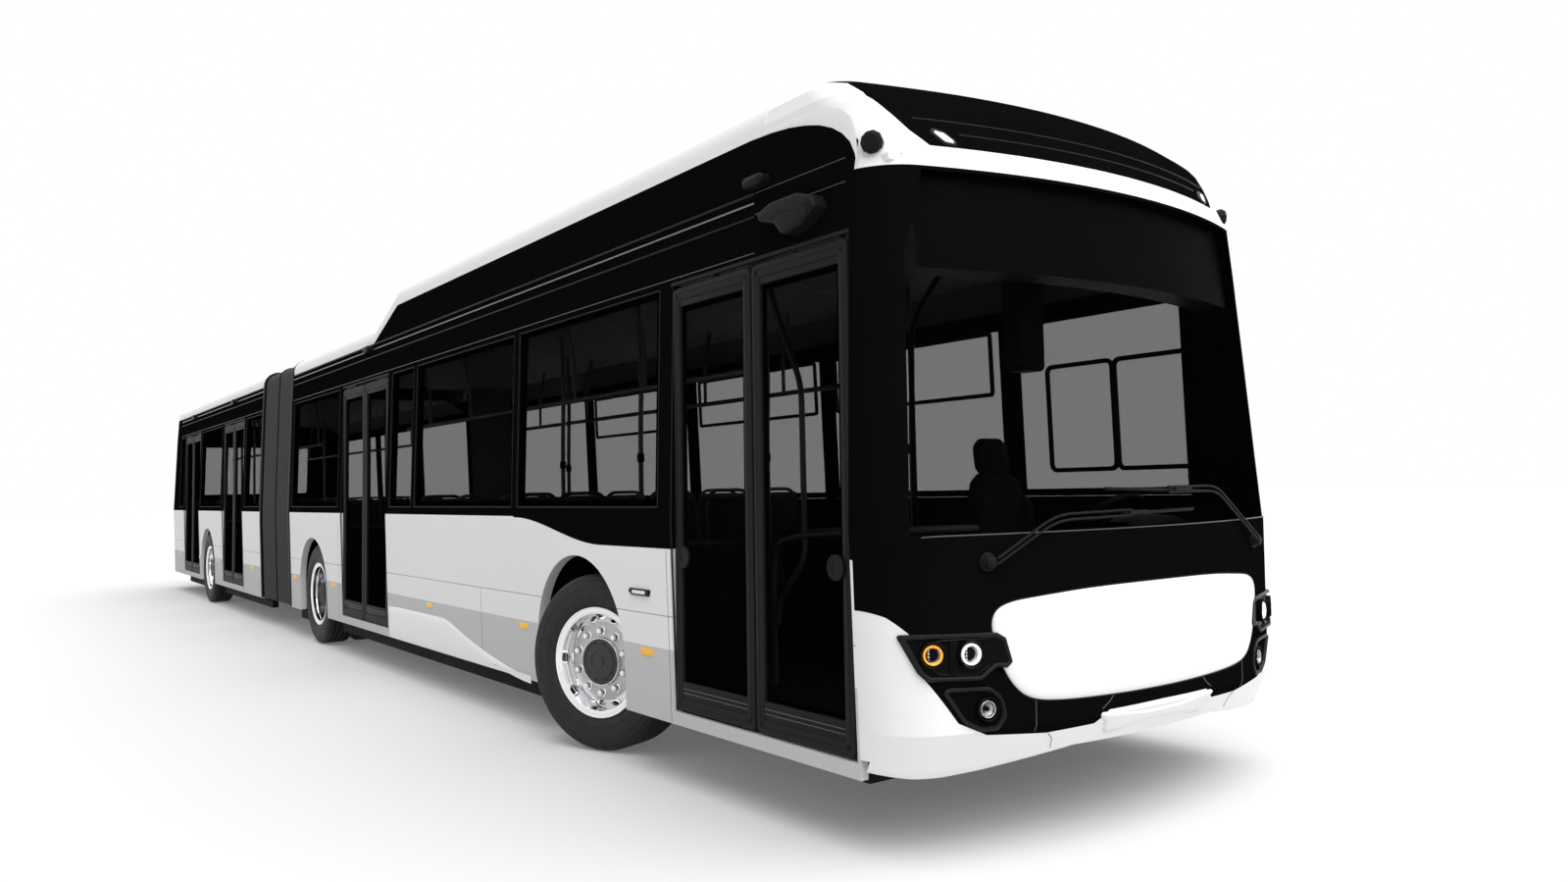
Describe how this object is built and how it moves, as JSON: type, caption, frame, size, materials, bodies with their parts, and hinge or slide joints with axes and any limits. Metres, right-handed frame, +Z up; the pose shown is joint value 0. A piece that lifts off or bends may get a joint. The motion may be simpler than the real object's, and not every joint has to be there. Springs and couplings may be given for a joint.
{
  "type": "articulated electric bus",
  "caption": "Articulated low-floor electric city bus with a bellows joint, steered front wheels and inward-swinging double doors.",
  "frame": {"origin": "middle of the length and width, on the ground under the tyres", "axes": "+X forward, +Y to the bus's left, +Z up"},
  "size_m": [18.0372, 2.7942, 3.1099],
  "materials": {
    "black_panel": "gloss",
    "white_panel": "gloss",
    "glass": "polished",
    "lamp": "clear",
    "bellows_fabric": "matt",
    "chassis": "matt",
    "seat_shell": "satin",
    "pole": "satin",
    "dark_plastic": "satin",
    "battery_case": "satin",
    "tyre": "matt",
    "rim": "polished",
    "door": "satin",
    "door_arm": "satin"
  },
  "bodies": {
    "front_body": {"front_walls": "black_panel", "front_skirts": "white_panel", "front_roof": "white_panel", "bumper": "white_panel", "front_mask": "black_panel", "front_flap": "white_panel", "windscreen": "glass", "headlamps": "lamp", "front_windows": "glass", "front_floor": "chassis", "bellows": "bellows_fabric", "front_axle": "chassis", "middle_axle": "chassis", "front_seats": "seat_shell", "front_poles": "pole", "dashboard": "dark_plastic", "driver_seat": "seat_shell", "roof_battery": "battery_case", "wipers": "dark_plastic", "camera_pods": "dark_plastic", "roof_visor": "black_panel"},
    "rear_body": {"rear_walls": "black_panel", "rear_skirts": "white_panel", "rear_roof": "white_panel", "rear_windows": "glass", "rear_floor": "chassis", "turntable": "chassis", "rear_axle": "chassis", "rear_seats": "seat_shell", "tail_lamps": "lamp"},
    "knuckle_left": {"knuckle_left": "chassis"},
    "front_left_wheel": {"front_left_tyre": "tyre", "front_left_rim": "rim"},
    "middle_left_wheel": {"middle_left_tyre": "tyre", "middle_left_rim": "rim"},
    "rear_left_wheel": {"rear_left_tyre": "tyre", "rear_left_rim": "rim"},
    "knuckle_right": {"knuckle_right": "chassis"},
    "front_right_wheel": {"front_right_tyre": "tyre", "front_right_rim": "rim"},
    "middle_right_wheel": {"middle_right_tyre": "tyre", "middle_right_rim": "rim"},
    "rear_right_wheel": {"rear_right_tyre": "tyre", "rear_right_rim": "rim"},
    "door1_arm_a": {"door1_arm_a": "door_arm"},
    "door1_leaf_a": {"door1_leaf_a": "door"},
    "door1_arm_b": {"door1_arm_b": "door_arm"},
    "door1_leaf_b": {"door1_leaf_b": "door"},
    "door2_arm_a": {"door2_arm_a": "door_arm"},
    "door2_leaf_a": {"door2_leaf_a": "door"},
    "door2_arm_b": {"door2_arm_b": "door_arm"},
    "door2_leaf_b": {"door2_leaf_b": "door"},
    "door3_arm_a": {"door3_arm_a": "door_arm"},
    "door3_leaf_a": {"door3_leaf_a": "door"},
    "door3_arm_b": {"door3_arm_b": "door_arm"},
    "door3_leaf_b": {"door3_leaf_b": "door"},
    "door4_arm_a": {"door4_arm_a": "door_arm"},
    "door4_leaf_a": {"door4_leaf_a": "door"},
    "door4_arm_b": {"door4_arm_b": "door_arm"},
    "door4_leaf_b": {"door4_leaf_b": "door"}
  },
  "joints": [
    {"name": "articulation", "type": "hinge", "parent": "front_body", "child": "rear_body", "pos_m": [-1.29372, 0, 0.3], "axis": [0, 0, 1], "range_deg": [-50, 50], "deforming": ["bellows"]},
    {"name": "steer_left", "type": "hinge", "parent": "front_body", "child": "knuckle_left", "pos_m": [6.17128, 0.985, 0.48], "axis": [0, 0, 1], "range_deg": [-67, 23]},
    {"name": "front_left_roll", "type": "hinge", "parent": "knuckle_left", "child": "front_left_wheel", "pos_m": [6.12258, 1.10553, 0.48], "axis": [-0.3746, 0.9272, 0], "continuous": true},
    {"name": "middle_left_roll", "type": "hinge", "parent": "front_body", "child": "middle_left_wheel", "pos_m": [0.33128, 0.935, 0.48], "axis": [0, 1, 0], "continuous": true},
    {"name": "rear_left_roll", "type": "hinge", "parent": "rear_body", "child": "rear_left_wheel", "pos_m": [-5.46872, 1.115, 0.48], "axis": [0, 1, 0], "continuous": true},
    {"name": "steer_right", "type": "hinge", "parent": "front_body", "child": "knuckle_right", "pos_m": [6.17128, -0.985, 0.48], "axis": [0, 0, 1], "range_deg": [-67, 23]},
    {"name": "front_right_roll", "type": "hinge", "parent": "knuckle_right", "child": "front_right_wheel", "pos_m": [6.21998, -1.10553, 0.48], "axis": [-0.3746, 0.9272, 0], "continuous": true},
    {"name": "middle_right_roll", "type": "hinge", "parent": "front_body", "child": "middle_right_wheel", "pos_m": [0.33128, -0.935, 0.48], "axis": [0, 1, 0], "continuous": true},
    {"name": "rear_right_roll", "type": "hinge", "parent": "rear_body", "child": "rear_right_wheel", "pos_m": [-5.46872, -1.115, 0.48], "axis": [0, 1, 0], "continuous": true},
    {"name": "door1_arm_a_swing", "type": "hinge", "parent": "front_body", "child": "door1_arm_a", "pos_m": [8.43128, -1.215, 1.3], "axis": [0, 0, -1], "range_deg": [0, 90]},
    {"name": "door1_leaf_a_swing", "type": "hinge", "parent": "door1_arm_a", "child": "door1_leaf_a", "pos_m": [8.14428, -1.215, 1.3], "axis": [0, 0, 1], "range_deg": [0, 180]},
    {"name": "door1_arm_b_swing", "type": "hinge", "parent": "front_body", "child": "door1_arm_b", "pos_m": [7.23128, -1.215, 1.3], "axis": [0, 0, 1], "range_deg": [0, 90]},
    {"name": "door1_leaf_b_swing", "type": "hinge", "parent": "door1_arm_b", "child": "door1_leaf_b", "pos_m": [7.51828, -1.215, 1.3], "axis": [0, 0, -1], "range_deg": [0, 180]},
    {"name": "door2_arm_a_swing", "type": "hinge", "parent": "front_body", "child": "door2_arm_a", "pos_m": [2.61128, -1.215, 1.3], "axis": [0, 0, -1], "range_deg": [0, 90]},
    {"name": "door2_leaf_a_swing", "type": "hinge", "parent": "door2_arm_a", "child": "door2_leaf_a", "pos_m": [2.32428, -1.215, 1.3], "axis": [0, 0, 1], "range_deg": [0, 180]},
    {"name": "door2_arm_b_swing", "type": "hinge", "parent": "front_body", "child": "door2_arm_b", "pos_m": [1.41128, -1.215, 1.3], "axis": [0, 0, 1], "range_deg": [0, 90]},
    {"name": "door2_leaf_b_swing", "type": "hinge", "parent": "door2_arm_b", "child": "door2_leaf_b", "pos_m": [1.69828, -1.215, 1.3], "axis": [0, 0, -1], "range_deg": [0, 180]},
    {"name": "door3_arm_a_swing", "type": "hinge", "parent": "rear_body", "child": "door3_arm_a", "pos_m": [-3.11872, -1.215, 1.3], "axis": [0, 0, -1], "range_deg": [0, 90]},
    {"name": "door3_leaf_a_swing", "type": "hinge", "parent": "door3_arm_a", "child": "door3_leaf_a", "pos_m": [-3.40572, -1.215, 1.3], "axis": [0, 0, 1], "range_deg": [0, 180]},
    {"name": "door3_arm_b_swing", "type": "hinge", "parent": "rear_body", "child": "door3_arm_b", "pos_m": [-4.31872, -1.215, 1.3], "axis": [0, 0, 1], "range_deg": [0, 90]},
    {"name": "door3_leaf_b_swing", "type": "hinge", "parent": "door3_arm_b", "child": "door3_leaf_b", "pos_m": [-4.03172, -1.215, 1.3], "axis": [0, 0, -1], "range_deg": [0, 180]},
    {"name": "door4_arm_a_swing", "type": "hinge", "parent": "rear_body", "child": "door4_arm_a", "pos_m": [-6.24372, -1.215, 1.3], "axis": [0, 0, -1], "range_deg": [0, 90]},
    {"name": "door4_leaf_a_swing", "type": "hinge", "parent": "door4_arm_a", "child": "door4_leaf_a", "pos_m": [-6.53072, -1.215, 1.3], "axis": [0, 0, 1], "range_deg": [0, 180]},
    {"name": "door4_arm_b_swing", "type": "hinge", "parent": "rear_body", "child": "door4_arm_b", "pos_m": [-7.44372, -1.215, 1.3], "axis": [0, 0, 1], "range_deg": [0, 90]},
    {"name": "door4_leaf_b_swing", "type": "hinge", "parent": "door4_arm_b", "child": "door4_leaf_b", "pos_m": [-7.15672, -1.215, 1.3], "axis": [0, 0, -1], "range_deg": [0, 180]}
  ],
  "couplings": [
    {"joint": "steer_right", "follows": "steer_left", "ratio": 1},
    {"joint": "door1_leaf_a_swing", "follows": "door1_arm_a_swing", "ratio": 2},
    {"joint": "door1_leaf_b_swing", "follows": "door1_arm_a_swing", "ratio": 2},
    {"joint": "door1_arm_b_swing", "follows": "door1_arm_a_swing", "ratio": 1},
    {"joint": "door2_leaf_a_swing", "follows": "door2_arm_a_swing", "ratio": 2},
    {"joint": "door2_leaf_b_swing", "follows": "door2_arm_a_swing", "ratio": 2},
    {"joint": "door2_arm_b_swing", "follows": "door2_arm_a_swing", "ratio": 1},
    {"joint": "door3_leaf_a_swing", "follows": "door3_arm_a_swing", "ratio": 2},
    {"joint": "door3_leaf_b_swing", "follows": "door3_arm_a_swing", "ratio": 2},
    {"joint": "door3_arm_b_swing", "follows": "door3_arm_a_swing", "ratio": 1},
    {"joint": "door4_leaf_a_swing", "follows": "door4_arm_a_swing", "ratio": 2},
    {"joint": "door4_leaf_b_swing", "follows": "door4_arm_a_swing", "ratio": 2},
    {"joint": "door4_arm_b_swing", "follows": "door4_arm_a_swing", "ratio": 1}
  ]
}
